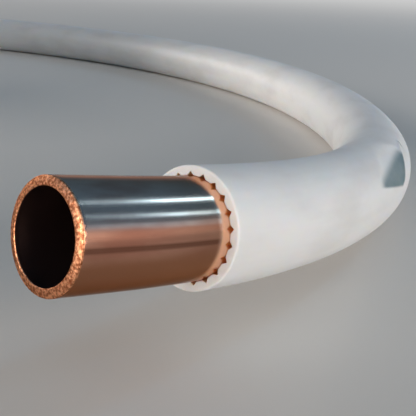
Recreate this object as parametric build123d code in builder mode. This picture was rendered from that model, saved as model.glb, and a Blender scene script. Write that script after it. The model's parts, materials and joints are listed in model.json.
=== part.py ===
"""A 10 m coil of plastic-sheathed soft copper tube, with its outer end bare and sprung out.

The coil lies flat. Millimetres, +Z up, origin on the floor under the middle of the whole outline.
"""
from build123d import *
import math
import os

# Tube and sheath
tube_od = 15.0
tube_wall = 1.0
sheath_wall = 1.5
sheath_gap = 0.05
sheath_sides = 16
bare_length = 25.0
cut_bevel = 0.3

# Air grooves along the sheath's bore, which is modelled open over this length
groove_count = 21
groove_depth = 0.6
groove_width = 1.2
groove_start = 12.0
open_length = 8.0

# Free end, from its cut face inwards: a straight stub, a lifted bend, and a long bend to the turns
straight_length = 10.0
end_bend_radius = 192.0
end_bend_angle = 43.6
end_bend_tilt = 12.8
tail_bend_radius = 302.0
tail_bend_angle = 145.0

# Wound turns
ring_radius = 200.0
rings_high = 4
turn_sides = 8
tail_clearance = 0.3

# Angles about the coil by which the winding changes row or layer ahead of what it has to clear
climb_lead = 8.0
crossing_angle = 40.0
inner_end_lead = 25.0

tube_radius = tube_od / 2
bore_radius = tube_radius - tube_wall
sheath_bore_radius = tube_radius + sheath_gap
sheath_radius = tube_radius + sheath_wall
turn_pitch = 2 * sheath_radius

# The tube's middle line lies one sheath radius above the floor, up to the lifted end bend
lift = math.radians(end_bend_tilt)
junction_heading = math.atan(math.tan(math.radians(end_bend_angle)) * math.cos(lift))
lying = Plane((0, 0, sheath_radius)).rotated((0, 0, math.degrees(junction_heading)))
up_tilted = lying.z_dir.rotate(Axis((0, 0, 0), lying.x_dir), end_bend_tilt)
lifted = Plane(lying.origin, x_dir=lying.x_dir, z_dir=up_tilted)


def end_bend(first, last):
    """The end bend's middle line, between two distances from its outer end."""
    turned = [math.degrees(distance / end_bend_radius) for distance in (first, last)]
    start = turned[0] - 90 - end_bend_angle
    return CenterArc((0, end_bend_radius), end_bend_radius, start, turned[1] - turned[0])


end_bend_length = math.radians(end_bend_angle) * end_bend_radius
bare_bend = bare_length - straight_length
covered_bend = bare_bend + open_length

# Copper tube: cut square, with both edges of its wall broken, and hollow
with BuildPart() as copper_tube:
    with BuildLine(lifted) as copper_line:
        copper_bend = end_bend(0, covered_bend)
        Line(copper_bend @ 0 - straight_length * (copper_bend % 0), copper_bend @ 0)
    with BuildSketch(Plane(copper_line.line @ 0, z_dir=copper_line.line % 0)):
        Circle(tube_radius)
        Circle(bore_radius, mode=Mode.SUBTRACT)
    sweep(path=copper_line.line)
    cut_face = copper_tube.faces().sort_by(Axis.X)[0]
    chamfer(cut_face.edges(), cut_bevel)
copper_tube.part.label = "copper_tube"

# Sheath of the free end and the tail: one solid with the tube inside it, up to the grooved open bore.
# Both stretches start at the junction, where a flat of their section faces the floor.
with BuildPart() as sheath:
    with BuildLine(lifted) as covered_line:
        end_bend(end_bend_length, bare_bend)
    with BuildLine(lying) as tail_line:
        CenterArc((0, tail_bend_radius), tail_bend_radius, -90, tail_bend_angle)
    for line in (covered_line.line, tail_line.line):
        with BuildSketch(Plane(line @ 0, x_dir=(0, 0, 1), z_dir=line % 0)):
            RegularPolygon(sheath_radius, sheath_sides, major_radius=False, rotation=180 / sheath_sides)
        sweep(path=line)
    with BuildLine(lifted) as open_line:
        end_bend(bare_bend, covered_bend)
    with BuildSketch(Plane(open_line.line @ 0, x_dir=lying.y_dir, z_dir=open_line.line % 0)):
        Circle(sheath_bore_radius)
        with PolarLocations(sheath_bore_radius, groove_count, start_angle=groove_start):
            half_width = groove_width / 2
            Polygon((groove_depth, 0), (0, half_width), (-groove_depth, 0), (0, -half_width))
    sweep(path=open_line.line, mode=Mode.SUBTRACT)
sheath.part.label = "sheath"

# Wound turns: the tail lands on the bottom outer turn. The outer layer climbs a row each time round,
# the top turn crosses to the inner layer, and that one drops a row each time round. Where the tube
# changes row or layer, the turned rings of the top and bottom rows stop and start half way across.
tail_end = tail_line.line @ 1
outwards = (tail_line.line % 1).cross(Vector(0, 0, 1))
coil_middle = Vector(tail_end.X, tail_end.Y) - ring_radius * outwards
coil_axis = Axis(coil_middle, (0, 0, 1))

offset_of_bends = tail_bend_radius - ring_radius
turn_side = ring_radius + sheath_radius
tail_side = tail_bend_radius - sheath_radius - tail_clearance
cosine = (tail_side**2 - offset_of_bends**2 - turn_side**2) / (2 * turn_side * offset_of_bends)
tail_room = math.degrees(math.acos(cosine))

climb_at = 360 - tail_room - climb_lead
shift_at = climb_at - crossing_angle
drop_at = shift_at - crossing_angle
half_crossing = crossing_angle / 2
inner_end_at = drop_at - inner_end_lead
inner_ring_radius = ring_radius - turn_pitch
top_row = rings_high - 1


def section_at(turned):
    """The upright plane out from the coil's axis, so many degrees round from where the tail lands."""
    spoke = outwards.rotate(Axis.Z, turned)
    return Plane(coil_middle, x_dir=spoke, z_dir=spoke.cross(Vector(0, 0, 1)))


def row_height(row):
    """Height of the middles of a row of turns, the bottom row being row 0."""
    return sheath_radius + row * turn_pitch


def ring(radius, row, start=0, stop=360):
    """One turn, between two places round the coil."""
    with BuildSketch(section_at(start)) as section:
        with Locations((radius, row_height(row))):
            RegularPolygon(sheath_radius, turn_sides, major_radius=False, rotation=180 / turn_sides)
    revolve(section.sketch, axis=coil_axis, revolution_arc=stop - start)


def core(row, start=0, stop=360):
    """Fills the hollow between four turns: the two of this row and the two above them."""
    with BuildSketch(section_at(start)) as section:
        with Locations((ring_radius - turn_pitch / 2, row_height(row + 0.5))):
            Rectangle(turn_pitch, turn_pitch)
    revolve(section.sketch, axis=coil_axis, revolution_arc=stop - start)


with BuildPart() as wound_turns:
    for row in range(1, top_row):
        ring(ring_radius, row)
        ring(inner_ring_radius, row)
    for row in range(1, top_row - 1):
        core(row)
    ring(ring_radius, 0, 0, climb_at)
    ring(inner_ring_radius, 0, drop_at + half_crossing - 360, inner_end_at)
    core(0, 0, inner_end_at)
    core(0, drop_at + half_crossing, climb_at)
    ring(ring_radius, top_row, climb_at + half_crossing - 360, shift_at + half_crossing)
    ring(inner_ring_radius, top_row, shift_at - 360, drop_at + half_crossing)
    core(top_row - 1, climb_at + half_crossing - 360, drop_at + half_crossing)
    core(top_row - 1, shift_at, shift_at + half_crossing)
wound_turns.part.label = "wound_turns"

# The origin goes to the floor under the middle of the outline
pieces = [copper_tube.part, sheath.part, wound_turns.part]
outline = Compound(children=[piece.moved(Location()) for piece in pieces]).bounding_box()
to_origin = Location((-outline.center().X, -outline.center().Y, -outline.min.Z))

os.makedirs("parts", exist_ok=True)
for piece in pieces:
    label = piece.label
    placed = piece.moved(to_origin)
    placed.label = label
    export_step(placed, f"parts/{label}.step")
    print(label, round(placed.volume), "mm3", placed.is_valid)
print("coil middle", to_origin.position + coil_middle, "tube end", to_origin.position + copper_line.line @ 0)
print("tube axis", copper_line.line % 0)

outer_turned = math.radians(360 * rings_high - 360 + shift_at)
inner_turned = math.radians(360 * rings_high + inner_end_at - shift_at)
free_length = straight_length + end_bend_length + math.radians(tail_bend_angle) * tail_bend_radius
print("tube length", free_length + outer_turned * ring_radius + inner_turned * inner_ring_radius)
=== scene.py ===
"""A 10 m coil of plastic-sheathed soft copper tube, its outer end sprung out and stripped bare.

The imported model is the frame. Metres, +Z up. The copper tube and the sheath both follow one run,
from the bare outer end to the inner end of the winding.
"""
import json
import math

import bpy
import numpy as np
from mathutils import Matrix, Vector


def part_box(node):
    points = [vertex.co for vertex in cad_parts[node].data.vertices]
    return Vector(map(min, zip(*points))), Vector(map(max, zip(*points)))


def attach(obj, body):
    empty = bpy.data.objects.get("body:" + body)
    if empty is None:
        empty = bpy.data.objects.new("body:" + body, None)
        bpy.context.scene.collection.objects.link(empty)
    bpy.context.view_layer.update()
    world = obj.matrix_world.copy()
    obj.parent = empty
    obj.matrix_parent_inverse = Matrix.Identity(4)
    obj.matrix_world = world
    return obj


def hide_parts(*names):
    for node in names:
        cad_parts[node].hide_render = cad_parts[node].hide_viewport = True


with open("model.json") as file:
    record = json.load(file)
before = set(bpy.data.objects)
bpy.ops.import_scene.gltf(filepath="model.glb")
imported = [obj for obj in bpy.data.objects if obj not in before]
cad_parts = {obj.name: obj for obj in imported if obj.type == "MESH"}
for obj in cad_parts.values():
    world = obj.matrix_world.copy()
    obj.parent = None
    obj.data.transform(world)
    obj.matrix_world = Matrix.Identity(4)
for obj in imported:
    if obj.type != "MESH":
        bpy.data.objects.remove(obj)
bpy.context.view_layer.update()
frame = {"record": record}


# Studio: a plain pale floor and backdrop under a dark ceiling. A low soft lamp lights the sheath's
# side, another its cut face, and weaker ones the top and the back. The tube mirrors two narrow
# strips with a fainter glow round each, and a haze of the same blue below them.
photo_side = 416
focal_length = 852.3
camera_from_end = np.array((-0.05521, -0.08201, 0.03215))
camera_heading = math.radians(44.64)
camera_tilt = math.radians(-15.91)
camera_roll = math.radians(2.61)

floor_half = 9.0
floor_colour = (0.73, 0.70, 0.665, 1)
backdrop_colour = (0.58, 0.58, 0.58, 1)
ceiling_colour = (0.07, 0.20, 0.37, 1)
ambient_colour = (0.078, 0.086, 0.094, 1)
floor_fade = (0.45, 1.7)
ceiling_fade = (0.08, 0.34)
daylight_tint = (0.62, 0.84, 1.0)
tungsten_tint = (1.0, 0.93, 0.86)
strip_tint = (0.26, 0.64, 1.0)


class Link:
    """An output in a node tree. Arithmetic on it adds Math nodes, and add() puts in any other node."""

    def __init__(self, tree, socket=None):
        self.tree = tree
        self.socket = socket

    def add(self, kind, settings, inputs, output=0):
        """The output of a new node, made with its settings and its sockets' values or links."""
        node = self.tree.nodes.new(kind)
        for name, value in settings.items():
            setattr(node, name, value)
        for name, value in inputs.items():
            if isinstance(value, Link):
                self.tree.links.new(value.socket, node.inputs[name])
            else:
                node.inputs[name].default_value = value
        return Link(self.tree, node.outputs[output] if len(node.outputs) else None)

    def maths(self, operation, first, second=0.0):
        return self.add("ShaderNodeMath", {"operation": operation}, {0: first, 1: second})

    def __add__(self, other):
        return self.maths("ADD", self, other)

    def __radd__(self, other):
        return self.maths("ADD", other, self)

    def __sub__(self, other):
        return self.maths("SUBTRACT", self, other)

    def __rsub__(self, other):
        return self.maths("SUBTRACT", other, self)

    def __mul__(self, other):
        return self.maths("MULTIPLY", self, other)

    def __rmul__(self, other):
        return self.maths("MULTIPLY", other, self)

    def rise(self, low, high):
        """0 below low, 1 above high, and a smooth step between them."""
        steps = {"Value": self, "From Min": low, "From Max": high}
        return self.add("ShaderNodeMapRange", {"interpolation_type": "SMOOTHSTEP"}, steps)

    def blend(self, first, second):
        """The first colour where this link is 0 and the second where it is 1."""
        return self.add("ShaderNodeMix", {"data_type": "RGBA"}, {0: self, 6: first, 7: second}, 2)


def empty_material(name):
    """A new material and a link that starts its node tree."""
    material = bpy.data.materials.new(name)
    material.use_nodes = True
    material.node_tree.nodes.clear()
    return material, Link(material.node_tree)


def finish_material(start, inputs):
    """Close a material with one Principled shader that has these values or links."""
    shader = start.add("ShaderNodeBsdfPrincipled", {}, inputs)
    start.add("ShaderNodeOutputMaterial", {}, {"Surface": shader})


def look(centre, target):
    """A matrix at centre whose -Z axis points at target."""
    back = (centre - target) / np.linalg.norm(centre - target)
    right = np.cross((0, 0, 1), back)
    right /= np.linalg.norm(right)
    axes = np.column_stack([right, np.cross(back, right), back, centre])
    return Matrix(axes.tolist()).to_4x4()


end_mount = next(mount for mount in frame["record"]["mounts"] if mount["name"] == "tube_end_bore")
mount_depth = 0.005
inwards = -np.array(end_mount["axis"])
tube_end = np.array(end_mount["pos_m"]) - mount_depth * inwards
lamp_target = tube_end + np.array((0.02, 0, 0))


def lamp(name, direction, distance, size, lean, power, tint):
    """An area lamp aimed at the bare tube. Its direction is a compass heading and a height.

    Both are in degrees, and so is the lean, which turns the lamp about its own line of sight.
    """
    heading, height = (math.radians(angle) for angle in direction)
    towards = np.array((math.cos(height) * math.cos(heading), math.cos(height) * math.sin(heading),
                        math.sin(height)))
    light = bpy.data.lights.new(name, "AREA")
    light.shape = "RECTANGLE"
    light.size, light.size_y = size
    light.energy = power
    light.color = tint
    holder = bpy.data.objects.new(name, light)
    turn = Matrix.Rotation(math.radians(lean), 4, "Z")
    holder.matrix_world = look(lamp_target + distance * towards, lamp_target) @ turn
    bpy.context.scene.collection.objects.link(holder)


lamp_distance = 6.0
strip_distance = 1.6
strip_width = 0.085
lamp("side_lamp", (-80, 12), lamp_distance, size=(4.6, 2.2), lean=0, power=250, tint=tungsten_tint)
lamp("face_lamp", (-178, 12), lamp_distance, size=(3.0, 1.9), lean=0, power=256, tint=tungsten_tint)
lamp("back_lamp", (98, 14), lamp_distance, size=(2.0, 1.9), lean=0, power=105, tint=tungsten_tint)
lamp("top_lamp", (-150, 50), 2.6, size=(1.6, 1.6), lean=0, power=5.5, tint=daylight_tint)
for name, direction, length, lean, power, glow in (("upper_strip", (-6, 34.5), 0.22, 30, 1.1, 0.42),
                                                   ("lower_strip", (-28, 24), 0.26, 51, 0.62, 0.30)):
    lamp(name, direction, strip_distance, (strip_width, length), lean, power, strip_tint)
    glow_size = (2 * strip_width, 3 * length)
    lamp(name + "_glow", direction, strip_distance + 0.01, glow_size, lean, glow, strip_tint)
lamp("haze", (-35, 12), strip_distance + 0.02, size=(0.22, 0.7), lean=66, power=0.45, tint=strip_tint)


def seen_rays(start):
    """1 on the rays that show the backdrop: straight from the camera, in metal or through glass."""
    ray = start.add("ShaderNodeLightPath", {}, {}).socket.node.outputs
    seen = Link(start.tree, ray["Is Camera Ray"])
    for kind in ("Is Glossy Ray", "Is Transmission Ray"):
        seen = start.maths("MAXIMUM", seen, Link(start.tree, ray[kind]))
    return seen


floor_mesh = bpy.data.meshes.new("floor")
floor_corners = [(-floor_half, -floor_half, 0), (floor_half, -floor_half, 0),
                 (floor_half, floor_half, 0), (-floor_half, floor_half, 0)]
floor_mesh.from_pydata(floor_corners, [], [(0, 1, 2, 3)])
floor = bpy.data.objects.new("floor", floor_mesh)
bpy.context.scene.collection.objects.link(floor)
floor_material, start = empty_material("floor_paper")
place = start.add("ShaderNodeTexCoord", {}, {}, "Object")
away = start.add("ShaderNodeVectorMath", {"operation": "LENGTH"}, {0: place}, "Value")
paper = start.add("ShaderNodeBsdfPrincipled", {}, {"Base Color": floor_colour, "Roughness": 0.7})
backdrop = start.add("ShaderNodeEmission", {}, {"Color": backdrop_colour})
fade = seen_rays(start) * away.rise(*floor_fade)
swept = start.add("ShaderNodeMixShader", {}, {0: fade, 1: paper, 2: backdrop})
start.add("ShaderNodeOutputMaterial", {}, {"Surface": swept})
floor_mesh.materials.append(floor_material)

world = bpy.data.worlds.new("studio")
world.use_nodes = True
world.node_tree.nodes.clear()
bpy.context.scene.world = world
start = Link(world.node_tree)
seen = seen_rays(start)
direction = start.add("ShaderNodeTexCoord", {}, {}, "Generated")
height = start.add("ShaderNodeSeparateXYZ", {}, {"Vector": direction}, "Z")
studio = height.rise(*ceiling_fade).blend(backdrop_colour, ceiling_colour)
sky = start.add("ShaderNodeBackground", {}, {"Color": seen.blend(ambient_colour, studio)})
start.add("ShaderNodeOutputWorld", {}, {"Surface": sky})

level_right = np.array((math.sin(camera_heading), -math.cos(camera_heading), 0))
view = np.array((math.cos(camera_tilt) * math.cos(camera_heading),
                 math.cos(camera_tilt) * math.sin(camera_heading), math.sin(camera_tilt)))
level_up = np.cross(level_right, view)
right = math.cos(camera_roll) * level_right + math.sin(camera_roll) * level_up
camera_up = np.cross(right, view)
camera_data = bpy.data.cameras.new("camera")
camera_data.sensor_width = 36
camera_data.lens = focal_length / photo_side * camera_data.sensor_width
camera_data.clip_start = 0.005
camera = bpy.data.objects.new("camera", camera_data)
camera_axes = np.column_stack([right, camera_up, -view, tube_end + camera_from_end])
camera.matrix_world = Matrix(camera_axes.tolist()).to_4x4()
bpy.context.scene.collection.objects.link(camera)
bpy.context.scene.camera = camera
bpy.context.scene.view_settings.view_transform = "Standard"


# Copper tube: soft drawn tube with a 1 mm wall. A wheel cutter has parted it, which bevels the rim,
# pushes a burr into the bore and leaves a rough bright face. It runs through the whole coil, shows
# at both ends, and is drawn only as far in as it can be seen.
tube_radius = 0.0075
bore_radius = 0.0065
sheath_radius = 0.009
straight_length = 0.010
end_bend_radius = 0.192
end_bend_turn = math.radians(43.6)
end_bend_tilt = math.radians(12.8)
tail_radius = 0.302
tail_turn = math.radians(145)
stock_length = 10.0
turn_pitch = 2 * sheath_radius
rows_high = 4

end_bend_length = end_bend_radius * end_bend_turn
tail_length = tail_radius * tail_turn
free_length = straight_length + end_bend_length + tail_length

junction_heading = math.atan(math.tan(end_bend_turn) * math.cos(end_bend_tilt))
level_tangent = np.array((math.cos(junction_heading), math.sin(junction_heading), 0))
up = np.array((0, 0, 1.0))
tilted_up = math.cos(end_bend_tilt) * up + math.sin(end_bend_tilt) * np.cross(level_tangent, up)


def bend(turned, radius, tangent, axis):
    """How far a bend has moved, and its tangent, after it has turned by an angle about its axis.

    The move is radius * (sin * tangent + (1 - cos) * side), where side is axis x tangent.
    """
    side = np.cross(axis, tangent)
    sine, cosine = np.sin(turned)[:, None], np.cos(turned)[:, None]
    return radius * (sine * tangent + (1 - cosine) * side), cosine * tangent + sine * side


def free_run(distance):
    """Points and tangents of the free end: straight, then the lifted bend, then the long level one."""
    bent = np.clip(distance - straight_length, 0, end_bend_length) / end_bend_radius
    swept = np.clip(distance - straight_length - end_bend_length, 0, tail_length) / tail_radius
    by_bend, bend_tangent = bend(bent, end_bend_radius, inwards, tilted_up)
    by_tail, tail_tangent = bend(swept, tail_radius, level_tangent, up)
    by_straight = np.minimum(distance, straight_length)[:, None] * inwards
    tangent = np.where(swept[:, None] > 0, tail_tangent, bend_tangent)
    return tube_end + by_straight + by_bend + by_tail, tangent


def ease(share):
    """A smooth step from 0 to 1, with no kink at either end: t^3 * (10 - 15 t + 6 t^2)."""
    share = np.clip(share, 0, 1)
    return share**3 * (10 - 15 * share + 6 * share**2)


turns_low, turns_high = (np.array(corner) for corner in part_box("wound_turns"))
ring_radius = (turns_high[0] - turns_low[0]) / 2 - sheath_radius
landing, landing_tangent = (row[0] for row in free_run(np.array([free_length])))
outwards = np.cross(landing_tangent, up)
coil_middle = landing - ring_radius * outwards
tail_clearance = 0.0003
climb_lead = 8
crossing = 40
winding_unevenness = 0.0005

# The tail comes down to the coil's side at touching degrees before the landing, by the law of
# cosines. Each turn that comes round again has started up to its next row by then.
offset_of_bends = tail_radius - ring_radius
turn_side = ring_radius + sheath_radius
tail_side = tail_radius - sheath_radius - tail_clearance
cosine = (tail_side**2 - offset_of_bends**2 - turn_side**2) / (2 * turn_side * offset_of_bends)
touching = math.degrees(math.acos(cosine))
climb_start = -touching - climb_lead
shift_start = climb_start - crossing
drop_start = shift_start - crossing


def winding(turned):
    """Points and tangents of the winding, after it has turned by so many degrees past the landing.

    The outer layer climbs one row near the end of each turn, the top turn shifts in by one layer,
    and the inner layer drops one row each turn. Each crossing eases over the same sector, and the
    turns wander by winding_unevenness times two sines of the angle turned and the row.
    """
    row = sum(ease((turned - climb_start - 360 * lap) / crossing) for lap in range(1, rows_high))
    drops = range(rows_high + 1, 2 * rows_high)
    row = row - sum(ease((turned - drop_start - 360 * lap) / crossing) for lap in drops)
    shift = ease((turned - shift_start - 360 * rows_high) / crossing)
    angle = np.radians(turned)
    wander = np.sin(2 * angle + 2.1 * row) + 0.6 * np.sin(3 * angle - 1.3 * row)
    radius = ring_radius - turn_pitch * shift + winding_unevenness * wander * ease(angle)
    point = coil_middle + radius[:, None] * (np.cos(angle)[:, None] * outwards
                                             + np.sin(angle)[:, None] * landing_tangent)
    point[:, 2] = sheath_radius + turn_pitch * row
    tangent = np.gradient(point, axis=0)
    return point, tangent / np.linalg.norm(tangent, axis=1)[:, None]


fine_step = 0.25
fine_point, fine_tangent = winding(np.arange(0, 360 * 2 * rows_high, fine_step))
step_lengths = np.linalg.norm(np.diff(fine_point, axis=0), axis=1)
fine_distance = free_length + np.concatenate([[0], np.cumsum(step_lengths)])


def whole_run(distance):
    """Points and tangents anywhere on the run, by its distance from the bare end."""
    point, tangent = free_run(distance)
    wound = distance > free_length
    for axis in range(3):
        point[wound, axis] = np.interp(distance[wound], fine_distance, fine_point[:, axis])
        tangent[wound, axis] = np.interp(distance[wound], fine_distance, fine_tangent[:, axis])
    return point, tangent / np.linalg.norm(tangent, axis=1)[:, None]


def rings(distance, radius, around, shift=None):
    """A grid of points: ring i, column j is point + radius * (cos a * side + sin a * lift).

    Side is level and square to the tangent, lift is square to both, and a is the column's angle.
    A shift, where given, moves each point along the tangent.
    """
    point, tangent = whole_run(distance)
    side = np.cross(tangent, up)
    side /= np.linalg.norm(side, axis=1)[:, None]
    lift = np.cross(side, tangent)
    cosine, sine = np.cos(around)[None, :, None], np.sin(around)[None, :, None]
    grid = point[:, None] + radius[..., None] * (cosine * side[:, None] + sine * lift[:, None])
    return grid if shift is None else grid + shift[..., None] * tangent[:, None]


def grid_piece(name, shells):
    """One mesh of several closed shells: quads between neighbouring rings, and a flat face at each end.

    A shell is its points, and the same points on the straightened tube, kept as an attribute.
    """
    faces, first = [], 0
    for points, _ in shells:
        ring_count, column_count = points.shape[:2]
        index = first + np.arange(ring_count * column_count).reshape(ring_count, column_count)
        after = np.roll(index, -1, axis=1)
        quads = np.stack([index[:-1], index[1:], after[1:], after[:-1]], axis=-1)
        faces += quads.reshape(-1, 4).tolist() + [index[0].tolist(), index[-1][::-1].tolist()]
        first += ring_count * column_count
    mesh = bpy.data.meshes.new(name)
    corners = np.concatenate([points.reshape(-1, 3) for points, _ in shells])
    mesh.from_pydata(corners.tolist(), [], faces)
    straightened = mesh.attributes.new("straightened", "FLOAT_VECTOR", "POINT")
    places = np.concatenate([place.reshape(-1, 3) for _, place in shells])
    straightened.data.foreach_set("vector", places.astype(np.float32).ravel())
    mesh.polygons.foreach_set("use_smooth", [len(face) == 4 for face in faces])
    piece = bpy.data.objects.new(name, mesh)
    bpy.context.scene.collection.objects.link(piece)
    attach(piece, "root")
    return piece


def straighten(depth, radius, around):
    """Where a ring's points would lie on a straight tube, with Z as the distance from its end."""
    along = np.broadcast_to(depth[:, None], radius.shape)
    return np.stack([radius * np.cos(around), radius * np.sin(around), along], axis=-1)


tube_columns = 400
bare_end_depth = 0.15
hidden_end_depth = 0.06
outer_roll = (0.00018, 0.00018)
inner_roll = (0.00012, 0.00022)
bevel_slopes = (0.16, 0.40)
burr = 0.00036
burr_length = 0.0007
grain_size = 0.000014
grain_reach = 0.0006
tube_around = np.linspace(0, 2 * np.pi, tube_columns, endpoint=False)


def cut_end(depth):
    """Depth and radius along a tube wall's section: up the bore, over the cut rim, down the outside.

    The cutter's wheel pushes a burr into the bore, which stands in by burr * exp(-3 * (depth - roll
    depth) / burr_length), and bevels the rim: depth is slope * run + (last slope - slope) * run^2 /
    2 width. Two quarter ellipses round the rim's edges, each of a roll's depth and radius. The rings
    crowd towards the cut.
    """
    roll = np.linspace(0, np.pi / 2, 7)
    bore_depths = np.concatenate([np.linspace(depth, 0.012, 8), np.linspace(0.011, 0.001, 10),
                                  np.linspace(0.0009, inner_roll[0] + 0.00003, 6)])
    bore_radii = bore_radius - burr * np.exp(-3 * (bore_depths - inner_roll[0]) / burr_length)
    inner_edge = bore_radii[-1] + inner_roll[1]
    width = tube_radius - outer_roll[1] - inner_edge
    run = np.linspace(0, width, 9)[1:-1]
    bevel = bevel_slopes[0] * run + (bevel_slopes[1] - bevel_slopes[0]) * run**2 / (2 * width)
    shoulder = (bevel_slopes[0] + bevel_slopes[1]) * width / 2
    outside = np.concatenate([np.linspace(0.0009, 0.004, 10), np.linspace(0.0045, 0.03, 16),
                              np.linspace(0.035, depth, 20)])
    depths = np.concatenate([bore_depths, inner_roll[0] * (1 - np.sin(roll)), bevel,
                             shoulder + outer_roll[0] * (1 - np.cos(roll)), outside])
    radii = np.concatenate([bore_radii, inner_edge - inner_roll[1] * np.cos(roll), inner_edge + run,
                            tube_radius - outer_roll[1] * (1 - np.sin(roll)), 0 * outside + tube_radius])
    return depths, radii


def torn(depths, radii, seed):
    """Radii of a cut end's grid, and shifts along the tube, with the grains that the cutter leaves.

    A random grid is averaged over neighbours, fades with depth as exp(-(depth / grain_reach)^2), and
    is added along the section's outward normal.
    """
    grains = np.random.default_rng(seed).normal(size=(len(depths), tube_columns))
    for axis in (0, 1):
        grains = (np.roll(grains, 1, axis) + 2 * grains + np.roll(grains, -1, axis)) / 3
    height = grain_size * np.exp(-(depths / grain_reach)**2)[:, None] * grains
    along, across = np.gradient(depths), np.gradient(radii)
    length = np.hypot(along, across)
    return radii[:, None] + height * (along / length)[:, None], -height * (across / length)[:, None]


bare_depths, bare_radii = cut_end(bare_end_depth)
bare_radii, bare_shift = torn(bare_depths, bare_radii, 3)
bare_end = rings(bare_depths, bare_radii, tube_around, bare_shift)
hidden_depths, hidden_radii = cut_end(hidden_end_depth)
hidden_radii, hidden_shift = torn(hidden_depths, hidden_radii, 8)
hidden_end = rings(stock_length - hidden_depths, hidden_radii, -tube_around, -hidden_shift)
copper_tube = grid_piece("copper_tube_ends", [
    (bare_end, straighten(bare_depths, bare_radii, tube_around)),
    (hidden_end, straighten(hidden_depths, hidden_radii, -tube_around))])
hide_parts("copper_tube")

polished_copper = (0.70, 0.35, 0.24, 1)
tarnished_copper = (0.52, 0.22, 0.145, 1)
# Painted shade: the bare tube's lower half, and more faintly its stretch next to the sheath, darken
# towards this colour.
shaded_copper = (0.40, 0.18, 0.10, 1)
# Painted reflection: a dark line along the tube's level side, where a horizon would mirror.
horizon_reflection_copper = (0.23, 0.09, 0.055, 1)
# Painted reflection: a light band on the copper next to the sheath stands for the sheath's cut face
# mirrored in it.
sheath_reflection_copper = (0.95, 0.56, 0.38, 1)
fresh_cut_copper = (0.94, 0.42, 0.22, 1)
torn_copper = (0.36, 0.115, 0.05, 1)
bore_copper = (0.15, 0.082, 0.068, 1)
copper_edge_tint = (0.60, 0.48, 0.42, 1)

copper, start = empty_material("drawn_copper")
place = start.add("ShaderNodeAttribute", {"attribute_name": "straightened"}, {}, "Vector")
parts = start.add("ShaderNodeSeparateXYZ", {}, {"Vector": place}).socket.node.outputs
across, level, depth = (Link(copper.node_tree, parts[axis]) for axis in "XYZ")
from_axis = start.maths("SQRT", across * across + level * level)
angle = start.maths("ARCTAN2", level, across)
lift = level * (1 / tube_radius)


def noise(where, stretch, detail):
    """Fractal noise on a place that is first scaled on each axis."""
    scaled = where.add("ShaderNodeVectorMath", {"operation": "MULTIPLY"}, {0: where, 1: stretch})
    settings = {"Vector": scaled, "Scale": 1.0, "Detail": detail}
    return where.add("ShaderNodeTexNoise", {}, settings, "Fac")


drawn = noise(place, (1400, 1400, 22), 3)
film = noise(place, (260, 260, 90), 4)
grain = noise(place, (2600, 2600, 2600), 3)
face = 1 - depth.rise(0.0004, 0.0006)
# Painted shade: the lower half of the bare tube goes darker, and more faintly its stretch next to the
# sheath.
painted_shade_below = 1 - lift.rise(-0.34, -0.03)
painted_shade_near_sheath = depth.rise(0.010, 0.022)
# Painted reflection: the band of copper just outside the sheath's mouth, where the cut face would
# mirror.
painted_reflection_band = depth.rise(0.0225, 0.0238)
bore = (1 - from_axis.rise(0.00652, 0.00658)) * depth.rise(0.00005, 0.0002)
# Painted reflection: a thin dark line along the side, just above level, stands for a mirrored horizon.
painted_horizon_line = 1 - start.maths("ABSOLUTE", angle - 0.012).rise(0.02, 0.075)
body = film.rise(0.35, 0.68).blend(polished_copper, tarnished_copper)
# Painted shade: the two masks above darken the copper below and near the sheath.
body = (painted_shade_below + 0.45 * painted_shade_near_sheath * (1 - painted_shade_below)).blend(body, shaded_copper)
# Painted reflection of a horizon along the side.
body = (painted_horizon_line * (0.6 + 0.4 * drawn)).blend(body, horizon_reflection_copper)
# Painted reflection of the sheath's cut face in the copper next to it.
body = painted_reflection_band.blend(body, sheath_reflection_copper)
cut = grain.rise(0.36, 0.66).blend(torn_copper, fresh_cut_copper)
colour = bore.blend(face.blend(body, cut), bore_copper)
gloss = 0.13 + 0.10 * film + 0.22 * face + 0.35 * bore
relief = {"Height": drawn * (1 - face) + 1.5 * grain * face, "Strength": 0.5, "Distance": 0.00002}
bump = start.add("ShaderNodeBump", {}, relief, "Normal")
finish_material(start, {"Base Color": colour, "Metallic": 1.0, "Roughness": gloss,
                        "Specular Tint": copper_edge_tint, "Normal": bump})
copper_tube.data.materials.append(copper)


# Sheath: an extruded white plastic pipe, 1.5 mm thick, with V-shaped air grooves all along its bore.
# It is knife-cut square where it was stripped back, and was pinched once on the end bend.
bare_length = 0.025
sheath_bore = 0.00755
groove_count = 21
groove_depth = 0.0006
groove_share = 0.27
groove_phase = math.radians(12)
free_columns = 12 * groove_count
wound_columns = 4 * groove_count
edge_round = 0.0003
mouth_depth = 0.125
hidden_mouth_depth = 0.04


def grooved_bore(around):
    """The bore's radius by angle: level lands, with a V as deep as a groove in each pitch."""
    pitches = (around - groove_phase) * groove_count / (2 * np.pi)
    from_groove = np.abs(pitches - np.round(pitches))
    return sheath_bore + groove_depth * np.clip(1 - from_groove / groove_share, 0, 1)


def sheath_mouth(depth, around):
    """Depth and radii of a cut sheath end: up the grooved bore, across the face, over the edge."""
    bore_depths = np.concatenate([np.linspace(depth, 0.022, 30), np.linspace(0.02, 0.001, 14),
                                  [0.0003, 0]])
    across_face = np.linspace(0, 1, 7)[1:]
    roll = np.linspace(0, np.pi / 2, 6)[1:]
    inner = grooved_bore(around)
    face_edge = sheath_radius - edge_round
    depths = np.concatenate([bore_depths, 0 * across_face, edge_round * (1 - np.cos(roll))])
    rolled = (face_edge + edge_round * np.sin(roll))[:, None]
    radii = np.concatenate([np.tile(inner, (len(bore_depths), 1)),
                            inner + across_face[:, None] * (face_edge - inner),
                            np.tile(rolled, (1, len(around)))])
    return depths, radii


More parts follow.
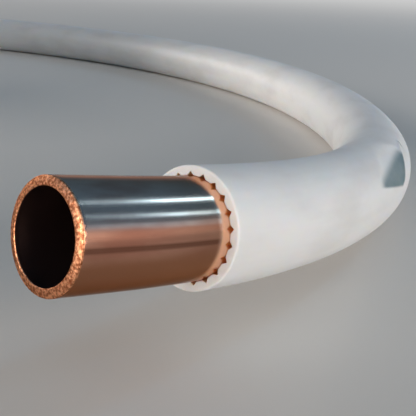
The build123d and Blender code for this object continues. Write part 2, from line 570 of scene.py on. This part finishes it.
def even_columns(count):
    """Column angles, even all round, with a column in the middle of each groove."""
    return groove_phase + np.linspace(0, 2 * np.pi, count, endpoint=False)


# The pinched place on the end bend. Depths are from the sheath's mouth and angles are in degrees.
pinch_tip = 0.0487
pinch_end = 0.0800
pinch_depth = 0.0007
pinch_angle = 23
pinch_rise = 26
pinch_rise_length = 0.034
pinch_slope = 787
pinch_full_width = 25
crease_start = 0.0703
crease_end = 0.0900
crease_height = 0.0002
crease_angle = 6
crease_rise = 46
crease_rise_length = 0.020
crease_width = 3.5
spot_angle = 49
spot_size = (0.0008, 5)


def pinch(depth, around):
    """How far the pinched place is pushed in, how dark its painted shade is, and how proud its crease
    stands.

    A straight crease closes it below, from its tip on, and a curved one behind. From there up it gets
    deeper, as far as a curve over the tip, and then eases out again. The curves rise as
    1 - (1 - share of the rise's length)^power. A small spot of painted shade lies at the crease's far
    end.
    """
    angle = np.degrees((around + np.pi) % (2 * np.pi) - np.pi)
    along = np.clip((depth - pinch_tip) / pinch_rise_length, 0, 1)
    behind = np.clip((depth - crease_start) / crease_rise_length, 0, 1)
    upper = pinch_angle + pinch_rise * (1 - (1 - along)**2)
    crease = crease_angle + crease_rise * (1 - (1 - behind)**1.6)
    lower = np.maximum(pinch_angle - pinch_slope * (depth - pinch_tip), crease)
    width = np.maximum(upper - lower, 2)
    share = (angle - lower) / width
    inside = ease((depth - pinch_tip) / 0.006) * (1 - ease((depth - pinch_end) / 0.004))
    pushed = np.clip(share, 0, 1) * (1 - ease((share - 1) / 1.2))
    pushed = pushed * np.clip(width / pinch_full_width, 0, 1) * inside
    # Painted shade: the pinched place is marked for darkening, as a dent facing up would be shaded.
    pinch_shaded = ease((angle - lower) / 4 + 0.5) * (1 - ease((angle - upper + 12) / 20)) * inside
    proud = np.exp(-((angle - crease) / crease_width)**2) * ease((depth - crease_start) / 0.002)
    proud = proud * (1 - ease((depth - crease_end) / 0.004))
    from_spot = ((depth - crease_end) / spot_size[0])**2 + ((angle - spot_angle) / spot_size[1])**2
    return pushed, np.maximum(pinch_shaded, np.exp(-from_spot)), proud


# The free end's sheath stays a hair proud of the wound turns past the landing, and then sinks into
# them, so that no seam shows. Its rings are closest at the pinch and at the landing.
lap_proud = 0.00002
lap_sink = 0.0005
lap_ease = 0.010
lap_length = 0.014
pinch_margin = 0.004
landing_depth = free_length - bare_length

free_around = even_columns(free_columns)
mouth_depths, mouth_radii = sheath_mouth(mouth_depth, free_around)
skin_depths = np.concatenate([np.arange(2 * edge_round, pinch_tip - pinch_margin, 0.0015),
                              np.arange(pinch_tip - pinch_margin, crease_end + pinch_margin, 0.0005),
                              np.arange(crease_end + 0.005, 0.13, 0.0025),
                              np.linspace(0.131, landing_depth - lap_length, 145),
                              landing_depth + np.linspace(-0.012, lap_length, 14)])
free_depths = np.concatenate([mouth_depths, skin_depths])
outside = (np.arange(len(free_depths)) >= len(mouth_depths))[:, None]
pushed, pinch_shaded, proud = (part * outside for part in pinch(free_depths[:, None], free_around[None]))
free_radii = np.concatenate([mouth_radii, np.full((len(skin_depths), free_columns), sheath_radius)])
free_radii = free_radii - pinch_depth * pushed + crease_height * proud
past_landing = (free_depths[:, None] + bare_length - free_length) / lap_ease
free_radii = free_radii + lap_proud * ease(past_landing + 1.1) - lap_sink * ease(past_landing - 0.4)
free_sheath = grid_piece("sheath_free_end", [
    (rings(bare_length + free_depths, free_radii, free_around),
     straighten(bare_length + free_depths, free_radii, free_around))])
# The pinched place's painted shade, kept on the points for the material.
pinch_shade = free_sheath.data.attributes.new("pinch_shade", "FLOAT", "POINT")
pinch_shade.data.foreach_set("value", pinch_shaded.astype(np.float32).ravel())
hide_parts("sheath")

wound_spacing = 0.0102
wound_around = even_columns(wound_columns)
end_depths, end_radii = sheath_mouth(hidden_mouth_depth, wound_around)
wound_distance = np.concatenate([free_length + np.linspace(0, 0.016, 8),
                                 np.arange(free_length + 0.022, stock_length - 0.006, wound_spacing),
                                 stock_length - end_depths[::-1]])
plain_rings = len(wound_distance) - len(end_depths)
wound_radii = np.concatenate([np.full((plain_rings, wound_columns), sheath_radius), end_radii[::-1]])
wound_sheath = grid_piece("sheath_wound_turns", [
    (rings(wound_distance, wound_radii, wound_around),
     straighten(wound_distance, wound_radii, wound_around))])
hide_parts("wound_turns")

sheath_white = (0.80, 0.80, 0.805, 1)
sheath_shade = (0.66, 0.65, 0.645, 1)
# Painted shade: the pinched place darkens towards this bluish grey, the shade of a dent facing up.
pinch_shade_grey = (0.055, 0.12, 0.135, 1)
# Painted light: the sheath's grooved bore near its mouth takes this warm colour, standing for light
# bounced off the copper.
copper_glow_tint = (0.97, 0.78, 0.56, 1)

plastic, start = empty_material("white_sheath_plastic")
place = start.add("ShaderNodeAttribute", {"attribute_name": "straightened"}, {}, "Vector")
parts = start.add("ShaderNodeSeparateXYZ", {}, {"Vector": place}).socket.node.outputs
across, level, run = (Link(plastic.node_tree, parts[axis]) for axis in "XYZ")
from_axis = start.maths("SQRT", across * across + level * level)
depth = start.maths("MINIMUM", run - bare_length, stock_length - run)
pinch_shade_mask = start.add("ShaderNodeAttribute", {"attribute_name": "pinch_shade"}, {}, "Fac")
cloud = noise(place, (120, 120, 45), 4)
streak = noise(place, (900, 900, 14), 3)
colour = (0.65 * cloud.rise(0.4, 0.75) + 0.2 * streak).blend(sheath_white, sheath_shade)
# Painted shade in the pinched place and the spot at its crease's end.
colour = (0.85 * pinch_shade_mask * (0.75 + 0.5 * cloud)).blend(colour, pinch_shade_grey)
# Painted light: a copper-coloured glow in the sheath's bore within a few centimetres of its mouth.
near_mouth = depth.rise(0.00005, 0.0003) * (1 - depth.rise(0.02, 0.03))
painted_copper_glow = (1 - from_axis.rise(0.0081, 0.0083)) * near_mouth
colour = painted_copper_glow.blend(colour, copper_glow_tint)
gloss = 0.40 + 0.12 * cloud + 0.1 * pinch_shade_mask
relief = {"Height": streak + 0.6 * cloud, "Strength": 0.35, "Distance": 0.00003}
bump = start.add("ShaderNodeBump", {}, relief, "Normal")
finish_material(start, {"Base Color": colour, "Roughness": gloss, "Specular IOR Level": 0.35,
                        "Subsurface Weight": 0.7, "Subsurface Radius": (1.0, 0.75, 0.55),
                        "Subsurface Scale": 0.0009, "Normal": bump})
for piece in (free_sheath, wound_sheath):
    piece.data.materials.append(plastic)
